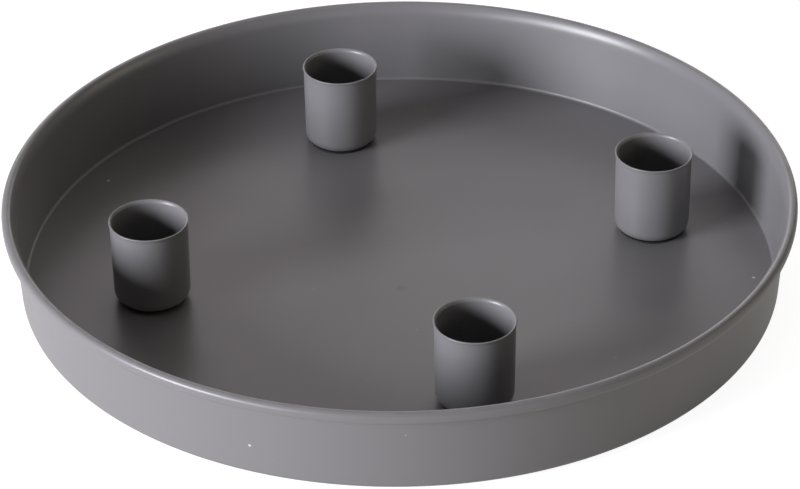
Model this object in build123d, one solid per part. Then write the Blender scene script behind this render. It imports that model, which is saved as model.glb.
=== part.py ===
from build123d import *
import math
import os

os.makedirs("parts", exist_ok=True)

# Round sheet-metal candle plate with four loose magnetic candle cups.
# Millimetres, +Z up. The origin is the middle of the plate, on the surface it stands on.
# Tray and cups are sections turned about Z. A point of a section is its radius and its height.
# Each bend of a section is an arc drawn as a few straight facets.

# Tray: one pressed and spun sheet with a flat floor, a flared wall and a rim curled outward.
tray_diameter = 250.0
tray_height = 29.4
tray_sheet = 1.0
wall_flare = 3.2
floor_corner_inner_radius = 1.0
floor_corner_inner_facets = 1
floor_corner_outer_facets = 2
curl_inner_radius = 1.0
curl_sweep = 262.0
curl_inner_facets = 3
curl_outer_facets = 6

# Candle cup: a drawn cup for a candle that slides in with a little room.
# Its corner is round outside, and one bevel inside keeps the sheet about even.
candle_diameter = 22.0
candle_clearance = 0.5
cup_sheet = 1.0
cup_height = 27.8
cup_corner_radius = 3.5
cup_corner_facets = 3
cup_corner_bevel = 1.25

# Flat magnet glued under the base of each cup.
magnet_diameter = 16.0
magnet_thickness = 0.5

# Felt feet under the tray, in line with the gaps between the cups.
foot_diameter = 18.0
foot_thickness = 1.5
foot_reach_share = 0.8
foot_angles = (58.0, 148.0, 238.0, 328.0)

# Where each cup stands: its angle about the middle, and its share of the floor's radius.
# The cups are set down by hand, so their ring is a little uneven.
cup_angles = (104.0, 13.2, 285.9, 193.4)
cup_reach_shares = (0.680, 0.708, 0.673, 0.676)

# Worked out from the sizes above.
floor_top = foot_thickness + tray_sheet
floor_corner_outer_radius = floor_corner_inner_radius + tray_sheet
curl_outer_radius = curl_inner_radius + tray_sheet
curl_centre = Vector(
    tray_diameter / 2 - curl_outer_radius,
    foot_thickness + tray_height - curl_outer_radius,
)
cup_base = floor_top + magnet_thickness
cup_bore_radius = candle_diameter / 2 + candle_clearance
cup_outer_radius = cup_bore_radius + cup_sheet


def arc_points(centre, radius, start, sweep, facets):
    """The points of an arc in a section, from its first angle, turning left for a sweep over zero."""
    angles = [start + sweep * number / facets for number in range(facets + 1)]
    return [centre + Vector(radius, 0).rotate(Axis.Z, angle) for angle in angles]


def turned(outline):
    """The solid that a closed section makes when it is turned about Z."""
    section = make_face(Polyline(*outline, close=True))
    return revolve(Plane.XZ * section, axis=Axis.Z)


def disc(diameter, thickness, bottom):
    """A flat disc about Z, standing at the height given."""
    centred_above = (Align.CENTER, Align.CENTER, Align.MIN)
    return Pos(Z=bottom) * Cylinder(diameter / 2, thickness, align=centred_above)


def floor_corner_centre():
    """The centre of the bend that joins the floor to the sloping wall."""
    flare = math.radians(wall_flare)
    height = floor_top + floor_corner_inner_radius
    across = (curl_outer_radius + floor_corner_inner_radius) / math.cos(flare)
    lean = (curl_centre.Y - height) * math.tan(flare)
    return Vector(curl_centre.X - across - lean, height)


def floor_place(reach_share, angle):
    """A place on the plan, by its share of the floor's radius and its angle."""
    reach = reach_share * floor_corner_centre().X
    return Pos(reach * math.cos(math.radians(angle)), reach * math.sin(math.radians(angle)))


def make_tray():
    """Floor, corner, flared wall and the open curl of the rim, all one sheet."""
    corner = floor_corner_centre()
    corner_turn = 90 - wall_flare
    curl_start = 180 - wall_flare
    below = [
        Vector(0, foot_thickness),
        *arc_points(corner, floor_corner_outer_radius, -90, corner_turn, floor_corner_outer_facets),
        *arc_points(curl_centre, curl_inner_radius, curl_start, -curl_sweep, curl_inner_facets),
    ]
    above = [
        Vector(0, floor_top),
        *arc_points(corner, floor_corner_inner_radius, -90, corner_turn, floor_corner_inner_facets),
        *arc_points(curl_centre, curl_outer_radius, curl_start, -curl_sweep, curl_outer_facets),
    ]
    return turned(below + above[::-1])


def make_cup():
    """A cup standing on its magnet, in the middle of the tray."""
    corner = Vector(cup_outer_radius - cup_corner_radius, cup_base + cup_corner_radius)
    inner_base = cup_base + cup_sheet
    mouth = cup_base + cup_height
    outside = [
        Vector(0, cup_base),
        *arc_points(corner, cup_corner_radius, -90, 90, cup_corner_facets),
        Vector(cup_outer_radius, mouth),
    ]
    inside = [
        Vector(0, inner_base),
        Vector(cup_bore_radius - cup_corner_bevel, inner_base),
        Vector(cup_bore_radius, inner_base + cup_corner_bevel),
        Vector(cup_bore_radius, mouth),
    ]
    return turned(outside + inside[::-1])


def make_magnet():
    """The magnet between the floor and the base of its cup."""
    return disc(magnet_diameter, magnet_thickness, floor_top)


def make_feet():
    """The felt feet, each a disc stuck under the floor."""
    foot = disc(foot_diameter, foot_thickness, 0)
    return Compound([floor_place(foot_reach_share, angle) * foot for angle in foot_angles])


def all_pieces():
    """Every piece by its name, each in its place."""
    pieces = {"tray": make_tray(), "felt_feet": make_feet()}
    cup = make_cup()
    magnet = make_magnet()
    for number, (angle, reach_share) in enumerate(zip(cup_angles, cup_reach_shares), start=1):
        place = floor_place(reach_share, angle)
        pieces[f"candle_cup_{number}"] = place * cup
        pieces[f"cup_magnet_{number}"] = place * magnet
    return pieces


for name, piece in all_pieces().items():
    export_step(piece, f"parts/{name}.step")
    print(f"{name}: {piece.volume:.1f} mm3")
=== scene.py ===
import math

import bpy
from mathutils import Matrix, Vector


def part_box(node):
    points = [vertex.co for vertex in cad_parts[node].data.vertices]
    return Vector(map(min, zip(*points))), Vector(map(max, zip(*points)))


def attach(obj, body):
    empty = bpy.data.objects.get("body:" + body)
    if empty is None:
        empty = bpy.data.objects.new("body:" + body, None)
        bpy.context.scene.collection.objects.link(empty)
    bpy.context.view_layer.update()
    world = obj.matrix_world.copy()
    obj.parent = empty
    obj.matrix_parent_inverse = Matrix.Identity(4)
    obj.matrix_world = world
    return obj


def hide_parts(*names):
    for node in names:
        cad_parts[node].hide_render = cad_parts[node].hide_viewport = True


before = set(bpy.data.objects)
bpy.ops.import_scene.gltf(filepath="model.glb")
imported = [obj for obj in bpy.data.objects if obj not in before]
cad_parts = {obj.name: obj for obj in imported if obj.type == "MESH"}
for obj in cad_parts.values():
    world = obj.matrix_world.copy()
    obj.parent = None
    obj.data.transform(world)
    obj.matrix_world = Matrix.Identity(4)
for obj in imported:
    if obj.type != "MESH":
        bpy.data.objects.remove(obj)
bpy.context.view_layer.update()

# Metres and degrees, +Z up. The tray and the cups are turned again here with smooth bends,
# from the boxes of their solids and the sheet sizes below. The rim here is a wide bend, a tight
# bend and a short face where the solid has one round curl. The magnets are turned again too,
# wide enough to show as a dark ring under each cup. The feet stay as they are.
tray_sheet = 0.001
wall_flare = 3.2
floor_corner_inner_radius = 0.001
curl_wide_radius = 0.0075
curl_wide_end = 36
curl_radius = 0.00154
curl_face = 0.0009
curl_sweep = 262.0
cup_count = 4
cup_sheet = 0.001
cup_corner_inner_radius = 0.0025
cup_draft = 0.00018
lip_proud = 0.0003
lip_flare_radius = 0.0015
lip_mouth_turn = 50
magnet_radius = 0.0104
magnet_edge_radius = 0.00015

# How finely the turned meshes are divided.
tray_sides = 288
cup_sides = 96
bend_steps = 12
curl_steps = 28
lip_steps = 8
lip_edge_steps = 16
floor_step = 0.008
wall_step = 0.004
edge_loop = 0.0003

# Turns in degrees, and the size of a matrix that turns and moves.
quarter_turn = 90
half_turn = 180
matrix_size = 4

# The camera, in the photograph's frame.
camera_lens = 143.2
camera_sensor = 36.0
camera_elevation = 32.28
camera_roll = 0.666
camera_distance = 1.0291
camera_aim = Vector((0.0, 0.0118, 0.0015))

# The floor under the object. Its glow is what makes it white to the camera, where a strength of 1 is white.
stage_size = 6.0
stage_colour = (0.84, 0.80, 0.74, 1.0)
stage_roughness = 0.9
stage_glow = 0.92
stage_gloss_share = 0.37
stage_shadow_colour = (0.35, 0.35, 0.35, 1.0)

# The lights. Each panel has its name, tint, azimuth, elevation, width, height and power in watts.
light_distance = 2.0
world_strength = 0.02
world_gloss_share = 0.3
white = (1.0, 1.0, 1.0, 1.0)
cool_tint = (0.98, 0.99, 1.06)
plain_tint = (1.0, 1.0, 1.0)
rosy_tint = (1.11, 0.98, 1.04)
amber_tint = (1.08, 1.0, 0.80)
light_panels = (
    ("key", cool_tint, -59.5, 14.5, 0.83, 0.70, 51.0),
    ("front_left", cool_tint, -37, 10, 0.83, 0.67, 8.6),
    ("front_right", amber_tint, 25, 10, 0.83, 0.67, 1.4),
    ("left_high", plain_tint, -100, 40, 1.0, 1.0, 1.1),
    ("right", amber_tint, 90, 15, 1.0, 0.83, 3.0),
    ("top", rosy_tint, 0, 88, 1.33, 1.33, 2.7),
    ("back", rosy_tint, 175, 32, 2.17, 0.83, 4.2),
    ("back_low", plain_tint, 175, 12, 2.17, 0.5, 8.1),
    ("back_high", amber_tint, 160, 60, 1.33, 1.0, 1.5),
    ("back_left", plain_tint, -160, 32, 1.0, 0.83, 0.4),
)

# Powder coat. All colours are linear.
coat_colour = (0.205, 0.199, 0.205, 1.0)
coat_cloud_colour = (0.196, 0.192, 0.197, 1.0)
# A lighter colour that the top edges take in patches.
coat_top_band_colour = (0.232, 0.228, 0.230, 1.0)
coat_roughness_range = (0.31, 0.35)
coat_cloud_size = 0.045
coat_peel_size = 0.0022
coat_peel_depth = 0.000006
coat_grain_size = 0.0004
coat_grain_depth = 0.0000015
# The thin band at the top edges that takes the lighter colour in patches: its lower and upper heights, and
# the size of its patches.
top_band_bottom = 0.0302
top_band_top = 0.0309
top_band_patch_size = 0.006

# Dust: fine lint all over, a few larger specks, each with its place and its radius, and one smudge.
dust_colour = (0.62, 0.61, 0.59, 1.0)
dust_cell = 0.013
dust_radius = 0.00022
tray_floor_top = 0.0025
speck_places = (
    (Vector((-0.04408, -0.11274, 0.01217)), 0.0006),
    (Vector((-0.0971, 0.05236, tray_floor_top)), 0.0008),
    (Vector((0.11193, -0.01181, tray_floor_top)), 0.0007),
)
smudge_place = Vector((0.0003, -0.0158, tray_floor_top))
smudge_radius = 0.0022
smudge_colour = (0.165, 0.163, 0.165, 1.0)

# The middle range of a noise, the share of a spot that has its full colour, and the strength of a bump.
noise_share = (0.2, 0.8)
core_share = 0.4
bump_strength = 1.0

# How many layers each kind of noise has.
bump_layers = 1
patch_layers = 2
cloud_layers = 3
grain_layers = 3
fibre_layers = 4

# The colour sockets of a mix node by number, since its other sockets have the same names.
mix_first = 6
mix_second = 7
mix_result = 2

# Magnet sheet: dark ferrite rubber with a fine roller grain.
magnet_colour = (0.010, 0.010, 0.010, 1.0)
magnet_pale_colour = (0.020, 0.019, 0.018, 1.0)
magnet_grain_size = 0.0005
magnet_grain_depth = 0.00002
magnet_roughness_range = (0.55, 0.75)

# Felt: short matted fibres.
felt_colour = (0.030, 0.030, 0.032, 1.0)
felt_pale_colour = (0.075, 0.074, 0.078, 1.0)
felt_fibre_size = 0.0007
felt_fibre_depth = 0.00025
felt_roughness_range = (0.85, 1.0)
felt_sheen = 0.3


def arc(centre, radius, start, sweep, steps):
    """The points of an arc in a section."""
    angles = [math.radians(start + sweep * step / steps) for step in range(steps + 1)]
    return [centre + radius * Vector((math.cos(angle), math.sin(angle))) for angle in angles]


def slanted(turn):
    """A unit step in a section, turned down by some degrees from straight outward."""
    angle = math.radians(turn)
    return Vector((math.cos(angle), -math.sin(angle)))


def straight(start, end, step):
    """The points between two ends of a straight run, with one close to each end to keep bends crisp."""
    length = (end - start).length
    inner = length - edge_loop * 2
    count = max(1, round(inner / step))
    places = [edge_loop + inner * number / count for number in range(count + 1)]
    return [start.lerp(end, place / length) for place in places]


def joined(*runs):
    """Bends with straight runs put in between them, from one axis point to the other."""
    points = list(runs[0])
    for step, run in runs[1:]:
        points += straight(points[-1], run[0], step)
        points += run
    return points


def turned(name, section, sides, centre, body, node):
    """A closed mesh of a section of (radius, height) points, turned about an upright line."""
    rings = section[1:-1]
    turn = [math.tau * side / sides for side in range(sides)]
    vertices = [(centre.x, centre.y, section[0].y)]
    for point in rings:
        vertices += [
            (centre.x + point.x * math.cos(angle), centre.y + point.x * math.sin(angle), point.y)
            for angle in turn
        ]
    vertices.append((centre.x, centre.y, section[-1].y))
    last = len(vertices) - 1
    faces = []
    for side in range(sides):
        following = (side + 1) % sides
        faces.append((0, 1 + following, 1 + side))
        faces.append((last, last - sides + side, last - sides + following))
        for ring in range(len(rings) - 1):
            low = 1 + ring * sides
            high = low + sides
            faces.append((low + side, low + following, high + following, high + side))
    mesh = bpy.data.meshes.new(name)
    mesh.from_pydata(vertices, [], faces)
    mesh.shade_smooth()
    mesh.validate()
    piece = bpy.data.objects.new(name, mesh)
    bpy.context.scene.collection.objects.link(piece)
    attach(piece, body)
    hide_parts(node)
    return piece


def rim_curl(top_corner, depth):
    """The curl at a depth in the sheet: the centre of its wide bend off the wall, and its points.

    After the wide bend come a tight one, a short face and a bend back.
    """
    radius = curl_radius - depth
    centre = top_corner - Vector((curl_radius, curl_radius))
    wide_centre = centre + slanted(curl_wide_end) * (curl_wide_radius - curl_radius)
    low_centre = centre - Vector((0, curl_face))
    start = half_turn - wall_flare
    wide_sweep = curl_wide_end - wall_flare
    run = arc(wide_centre, curl_wide_radius - depth, start, -wide_sweep, bend_steps)
    run += arc(centre, radius, start - wide_sweep, wide_sweep - start, curl_steps)[1:]
    back = arc(low_centre, radius, 0, start - curl_sweep, bend_steps)
    return wide_centre, run + straight(run[-1], back[0], wall_step) + back


def make_tray():
    """The plate: floor, corner, flared wall and the open curl of the rim, all one sheet."""
    low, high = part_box("tray")
    flare = math.radians(wall_flare)
    top_corner = Vector((high.x, high.z))
    curl_centre, upper_curl = rim_curl(top_corner, 0)
    lower_curl = rim_curl(top_corner, tray_sheet)[1]
    corner_height = low.z + tray_sheet + floor_corner_inner_radius
    across = (curl_wide_radius + floor_corner_inner_radius) / math.cos(flare)
    lean = (curl_centre.y - corner_height) * math.tan(flare)
    corner = Vector((curl_centre.x - across - lean, corner_height))
    corner_turn = quarter_turn - wall_flare
    corner_outer_radius = floor_corner_inner_radius + tray_sheet
    below = joined(
        [Vector((0, low.z))],
        (floor_step, arc(corner, corner_outer_radius, -quarter_turn, corner_turn, bend_steps)),
        (wall_step, lower_curl),
    )
    above = joined(
        [Vector((0, low.z + tray_sheet))],
        (floor_step, arc(corner, floor_corner_inner_radius, -quarter_turn, corner_turn, bend_steps)),
        (wall_step, upper_curl),
    )
    section = below + above[::-1]
    return turned("plate_shell", section, tray_sides, Vector((0, 0)), "plate", "tray")


def cup_lip(outer_radius, top):
    """The lip of a cup in section: a flare outward, a round edge and the flare of the mouth."""
    mouth_cosine = math.cos(math.radians(lip_mouth_turn))
    edge_radius = (cup_sheet - lip_flare_radius * (1 - mouth_cosine)) / (1 + mouth_cosine)
    edge = Vector((outer_radius - edge_radius, top - edge_radius))
    flare_turn = math.degrees(math.acos(1 - lip_proud / (edge_radius + lip_flare_radius)))
    hollow = edge + slanted(flare_turn) * (edge_radius + lip_flare_radius)
    mouth_centre = edge + slanted(lip_mouth_turn) * (lip_flare_radius - edge_radius)
    edge_end = half_turn - lip_mouth_turn
    lip = arc(hollow, lip_flare_radius, half_turn, -flare_turn, lip_steps)
    lip += arc(edge, edge_radius, -flare_turn, edge_end + flare_turn, lip_edge_steps)[1:]
    return lip + arc(mouth_centre, lip_flare_radius, edge_end, lip_mouth_turn, lip_steps)[1:]


def make_cup(number):
    """A drawn candle cup: a rounded base, a body that narrows a little downward and a round proud lip."""
    node = f"candle_cup_{number}"
    low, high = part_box(node)
    centre = (low + high) / 2
    outer_radius = (high.x - low.x) / 2
    body_base_radius = outer_radius - lip_proud - cup_draft
    corner_outer_radius = cup_corner_inner_radius + cup_sheet
    corner = Vector((body_base_radius - corner_outer_radius, low.z + corner_outer_radius))
    outside = joined(
        [Vector((0, low.z))],
        (floor_step, arc(corner, corner_outer_radius, -quarter_turn, quarter_turn, bend_steps)),
        (wall_step, cup_lip(outer_radius, high.z)),
    )
    inside = joined(
        [Vector((0, low.z + cup_sheet))],
        (floor_step, arc(corner, cup_corner_inner_radius, -quarter_turn, quarter_turn, bend_steps)),
    )
    inside += straight(inside[-1], outside[-1], wall_step)
    section = outside + inside[::-1]
    return turned(f"cup_shell_{number}", section, cup_sides, centre, f"cup_{number}", node)


def make_magnet(number):
    """The flat magnet under a cup, a little narrower than the cup."""
    node = f"cup_magnet_{number}"
    low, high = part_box(node)
    centre = (low + high) / 2
    side = magnet_radius - magnet_edge_radius
    lower = Vector((side, low.z + magnet_edge_radius))
    upper = Vector((side, high.z - magnet_edge_radius))
    section = joined(
        [Vector((0, low.z))],
        (floor_step, arc(lower, magnet_edge_radius, -quarter_turn, quarter_turn, lip_steps)),
    )
    section += arc(upper, magnet_edge_radius, 0, quarter_turn, lip_steps)
    section += straight(section[-1], Vector((0, high.z)), floor_step)
    section.append(Vector((0, high.z)))
    return turned(f"magnet_disc_{number}", section, cup_sides, centre, f"cup_{number}", node)


class NodeBoard:
    """A new node material, with short calls for the nodes that the materials here share."""

    def __init__(self, name):
        self.material = bpy.data.materials.new(name)
        self.material.use_nodes = True
        self.tree = self.material.node_tree
        self.shader = self.tree.nodes["Principled BSDF"]
        self.place = self.add("ShaderNodeTexCoord").outputs["Object"]

    def add(self, kind, **settings):
        """A new node with its settings."""
        node = self.tree.nodes.new(kind)
        for key, value in settings.items():
            setattr(node, key, value)
        return node

    def link(self, output, node, socket):
        """Joins an output to a socket of a node."""
        self.tree.links.new(output, node.inputs[socket])

    def noise(self, size, layers):
        """Soft noise with blotches of about this size."""
        node = self.add("ShaderNodeTexNoise")
        node.inputs["Scale"].default_value = 1 / size
        node.inputs["Detail"].default_value = layers
        self.link(self.place, node, "Vector")
        return node.outputs["Fac"]

    def remap(self, value, start, end, low, high):
        """A value moved smoothly from one range to another."""
        node = self.add("ShaderNodeMapRange", interpolation_type="SMOOTHSTEP")
        self.link(value, node, "Value")
        for socket, number in (("From Min", start), ("From Max", end), ("To Min", low), ("To Max", high)):
            node.inputs[socket].default_value = number
        return node.outputs["Result"]

    def spread(self, noise, low=0, high=1):
        """The middle range of a noise, spread from a low to a high value."""
        return self.remap(noise, *noise_share, low, high)

    def times(self, first, second):
        """Two values multiplied."""
        node = self.add("ShaderNodeMath", operation="MULTIPLY")
        self.link(first, node, 0)
        self.link(second, node, 1)
        return node.outputs["Value"]

    def blend(self, share, first, second):
        """A colour between a first, given or from a node, and a second given one."""
        node = self.add("ShaderNodeMix", data_type="RGBA")
        self.link(share, node, "Factor")
        if isinstance(first, tuple):
            node.inputs[mix_first].default_value = first
        else:
            self.link(first, node, mix_first)
        node.inputs[mix_second].default_value = second
        return node.outputs[mix_result]

    def near(self, point, radius):
        """1 at a point, falling to 0 at the radius."""
        node = self.add("ShaderNodeVectorMath", operation="DISTANCE")
        self.link(self.place, node, 0)
        node.inputs[1].default_value = point
        return self.remap(node.outputs["Value"], radius * core_share, radius, 1, 0)

    def bump(self, height, depth, below=None):
        """A bump of a real depth, on top of another one where given."""
        node = self.add("ShaderNodeBump")
        node.inputs["Strength"].default_value = bump_strength
        node.inputs["Distance"].default_value = depth
        self.link(height, node, "Height")
        if below is not None:
            self.link(below, node, "Normal")
        return node.outputs["Normal"]


def coat_shades(board, clouds):
    """The colour of the coat: cloudy tone, top edges lighter in patches, one smudge and a little dust."""
    colour = board.blend(board.spread(clouds), coat_colour, coat_cloud_colour)
    apart = board.add("ShaderNodeSeparateXYZ")
    board.link(board.place, apart, "Vector")
    # The top edges are lighter in patches.
    top_edge = board.remap(apart.outputs["Z"], top_band_bottom, top_band_top, 0, 1)
    patches = board.spread(board.noise(top_band_patch_size, patch_layers))
    colour = board.blend(board.times(top_edge, patches), colour, coat_top_band_colour)
    colour = board.blend(board.near(smudge_place, smudge_radius), colour, smudge_colour)
    cells = board.add("ShaderNodeTexVoronoi")
    cells.inputs["Scale"].default_value = 1 / dust_cell
    board.link(board.place, cells, "Vector")
    reach = dust_radius / dust_cell
    lint = board.remap(cells.outputs["Distance"], reach * core_share, reach, 1, 0)
    colour = board.blend(lint, colour, dust_colour)
    for point, radius in speck_places:
        colour = board.blend(board.near(point, radius), colour, dust_colour)
    return colour


def powder_coat(name):
    """Satin grey powder coat with a fine orange peel."""
    board = NodeBoard(name)
    clouds = board.noise(coat_cloud_size, cloud_layers)
    board.link(coat_shades(board, clouds), board.shader, "Base Color")
    board.link(board.spread(clouds, *coat_roughness_range), board.shader, "Roughness")
    peel = board.bump(board.noise(coat_peel_size, bump_layers), coat_peel_depth)
    grain = board.bump(board.noise(coat_grain_size, bump_layers), coat_grain_depth, peel)
    board.link(grain, board.shader, "Normal")
    return board.material


def magnet_rubber(name):
    """Dark magnet sheet with a fine grain."""
    board = NodeBoard(name)
    grain = board.noise(magnet_grain_size, grain_layers)
    colour = board.blend(board.spread(grain), magnet_colour, magnet_pale_colour)
    board.link(colour, board.shader, "Base Color")
    board.link(board.spread(grain, *magnet_roughness_range), board.shader, "Roughness")
    board.link(board.bump(grain, magnet_grain_depth), board.shader, "Normal")
    return board.material


def felt(name):
    """Dark felt of short matted fibres."""
    board = NodeBoard(name)
    fibres = board.noise(felt_fibre_size, fibre_layers)
    colour = board.blend(board.spread(fibres), felt_colour, felt_pale_colour)
    board.link(colour, board.shader, "Base Color")
    board.link(board.spread(fibres, *felt_roughness_range), board.shader, "Roughness")
    board.shader.inputs["Sheen Weight"].default_value = felt_sheen
    board.link(board.bump(fibres, felt_fibre_depth), board.shader, "Normal")
    return board.material


def paint(piece, material):
    """Gives a piece one material in place of what it had."""
    piece.data.materials.clear()
    piece.data.materials.append(material)


def make_camera():
    """The photograph's camera: a long lens, from above the front."""
    data = bpy.data.cameras.new("camera")
    data.lens = camera_lens
    data.sensor_width = camera_sensor
    camera = bpy.data.objects.new("camera", data)
    bpy.context.scene.collection.objects.link(camera)
    tilt = Matrix.Rotation(math.radians(quarter_turn - camera_elevation), matrix_size, "X")
    roll = Matrix.Rotation(math.radians(-camera_roll), matrix_size, "Z")
    turn = tilt @ roll
    back = tilt @ Vector((0, 0, camera_distance))
    camera.matrix_world = Matrix.Translation(camera_aim + back) @ turn
    bpy.context.scene.camera = camera


def soft_light(name, tint, azimuth, elevation, width, height, power):
    """A panel of light aimed at the object. Azimuth 0 is at the front and 90 at the right."""
    data = bpy.data.lights.new(name, "AREA")
    data.shape = "RECTANGLE"
    data.size = width
    data.size_y = height
    data.energy = power
    data.color = tint
    light = bpy.data.objects.new(name, data)
    bpy.context.scene.collection.objects.link(light)
    side = math.radians(azimuth)
    rise = math.radians(elevation)
    toward = Vector((math.sin(side) * math.cos(rise), -math.cos(side) * math.cos(rise), math.sin(rise)))
    light.visible_camera = False
    light.location = toward * light_distance
    light.rotation_euler = toward.to_track_quat("Z", "Y").to_euler()


def scaled(tree, output, share):
    """An output times a share."""
    node = tree.nodes.new("ShaderNodeMath")
    node.operation = "MULTIPLY"
    tree.links.new(output, node.inputs[0])
    node.inputs[1].default_value = share
    return node.outputs["Value"]


def larger(tree, first, second):
    """The larger of an output and another one, or of an output and a value."""
    node = tree.nodes.new("ShaderNodeMath")
    node.operation = "MAXIMUM"
    tree.links.new(first, node.inputs[0])
    if isinstance(second, float):
        node.inputs[1].default_value = second
    else:
        tree.links.new(second, node.inputs[1])
    return node.outputs["Value"]


def make_world():
    """Faint light all round. The camera sees it as white, and the gloss sees a share of that."""
    world = bpy.data.worlds.new("studio")
    bpy.context.scene.world = world
    world.use_nodes = True
    tree = world.node_tree
    background = tree.nodes["Background"]
    background.inputs["Color"].default_value = white
    rays = tree.nodes.new("ShaderNodeLightPath").outputs
    strength = larger(tree, scaled(tree, rays["Is Glossy Ray"], world_gloss_share), world_strength)
    for ray in (rays["Is Camera Ray"], rays["Is Transmission Ray"]):
        strength = larger(tree, strength, ray)
    tree.links.new(strength, background.inputs["Strength"])


def stage_paint():
    """Pale paint: white to the camera but for the object's shadow, and a share of that in the gloss."""
    board = NodeBoard("stage_floor")
    board.shader.inputs["Base Color"].default_value = stage_colour
    board.shader.inputs["Roughness"].default_value = stage_roughness
    board.shader.inputs["Specular IOR Level"].default_value = 0.0
    glow = board.add("ShaderNodeEmission")
    glow.inputs["Strength"].default_value = stage_glow
    lit = board.add("ShaderNodeBsdfDiffuse")
    lit.inputs["Color"].default_value = stage_shadow_colour
    seen = board.add("ShaderNodeAddShader")
    board.link(glow.outputs["Emission"], seen, 0)
    board.link(lit.outputs["BSDF"], seen, 1)
    rays = board.add("ShaderNodeLightPath").outputs
    shown = scaled(board.tree, rays["Is Glossy Ray"], stage_gloss_share)
    for ray in (rays["Is Camera Ray"], rays["Is Transmission Ray"]):
        shown = larger(board.tree, shown, ray)
    mix = board.add("ShaderNodeMixShader")
    board.link(shown, mix, 0)
    board.link(board.shader.outputs["BSDF"], mix, 1)
    board.link(seen.outputs["Shader"], mix, 2)
    board.link(mix.outputs["Shader"], board.tree.nodes["Material Output"], "Surface")
    return board.material


def make_stage():
    """The pale floor under the object."""
    mesh = bpy.data.meshes.new("stage_floor")
    half = stage_size / 2
    corners = [(-half, -half, 0), (half, -half, 0), (half, half, 0), (-half, half, 0)]
    mesh.from_pydata(corners, [], [(0, 1, 2, 3)])
    floor = bpy.data.objects.new("stage_floor", mesh)
    bpy.context.scene.collection.objects.link(floor)
    paint(floor, stage_paint())


coat = powder_coat("powder_coat")
paint(make_tray(), coat)
rubber = magnet_rubber("magnet_rubber")
for number in range(1, cup_count + 1):
    paint(make_cup(number), coat)
    paint(make_magnet(number), rubber)
paint(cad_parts["felt_feet"], felt("felt"))
make_camera()
make_stage()
make_world()
for panel in light_panels:
    soft_light(*panel)
bpy.context.scene.view_settings.view_transform = "Standard"
